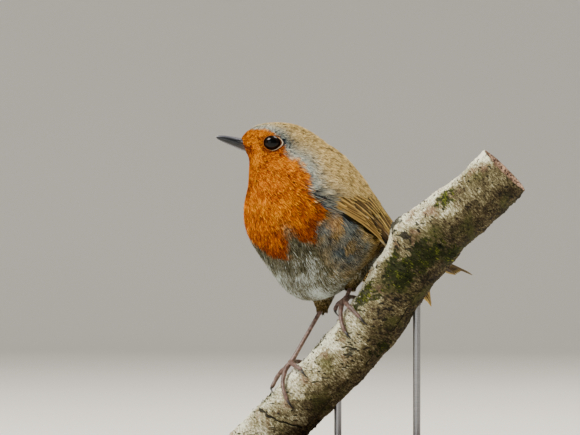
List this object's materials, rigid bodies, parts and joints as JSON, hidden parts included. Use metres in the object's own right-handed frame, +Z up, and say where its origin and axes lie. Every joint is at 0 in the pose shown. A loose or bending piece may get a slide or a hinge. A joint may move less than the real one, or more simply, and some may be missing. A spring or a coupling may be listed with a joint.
{
  "type": "robin display model",
  "caption": "Life-size still model of a European robin gripping a slanting cut branch, held by two short rods on a flat wooden base.",
  "frame": {"origin": "centre of the display base's flat underside", "axes": "+Z up, +X along the base's long side towards the branch's broken upper end, -Y towards the viewer that the bird's left side and breast face"},
  "size_m": [0.125, 0.1022, 0.1391],
  "materials": {
    "plumage": "soft overlapping feathers, orange face and breast, olive brown above, off-white belly",
    "flight_feathers": "dark brown vanes with paler tan edges",
    "bill_horn": "smooth slate-black horn",
    "eye": "glossy black-brown",
    "leg_scales": "pinkish-brown scutes with a slight sheen",
    "claw_horn": "dark curved horn",
    "bark": "pale rough bark with dark cross marks and moss",
    "stand_wood": "dark satin-varnished wood",
    "stand_metal": "brushed"
  },
  "bodies": {
    "root": {"bill_lower": "bill_horn", "bill_upper": "bill_horn", "claw_left_hind": "claw_horn", "claw_left_inner": "claw_horn", "claw_left_middle": "claw_horn", "claw_left_outer": "claw_horn", "claw_right_hind": "claw_horn", "claw_right_inner": "claw_horn", "claw_right_middle": "claw_horn", "claw_right_outer": "claw_horn", "eye_left": "eye", "eye_right": "eye", "foot_left": "leg_scales", "foot_right": "leg_scales", "head": "plumage", "neck": "plumage", "perch_branch": "bark", "stand_base": "stand_wood", "stand_rod_lower": "stand_metal", "stand_rod_upper": "stand_metal", "tail": "flight_feathers", "tarsus_left": "leg_scales", "tarsus_right": "leg_scales", "thigh_left": "plumage", "thigh_right": "plumage", "toe_left_hind": "leg_scales", "toe_left_inner": "leg_scales", "toe_left_middle": "leg_scales", "toe_left_outer": "leg_scales", "toe_right_hind": "leg_scales", "toe_right_inner": "leg_scales", "toe_right_middle": "leg_scales", "toe_right_outer": "leg_scales", "trunk": "plumage", "wing_left": "flight_feathers", "wing_right": "flight_feathers"}
  },
  "joints": []
}
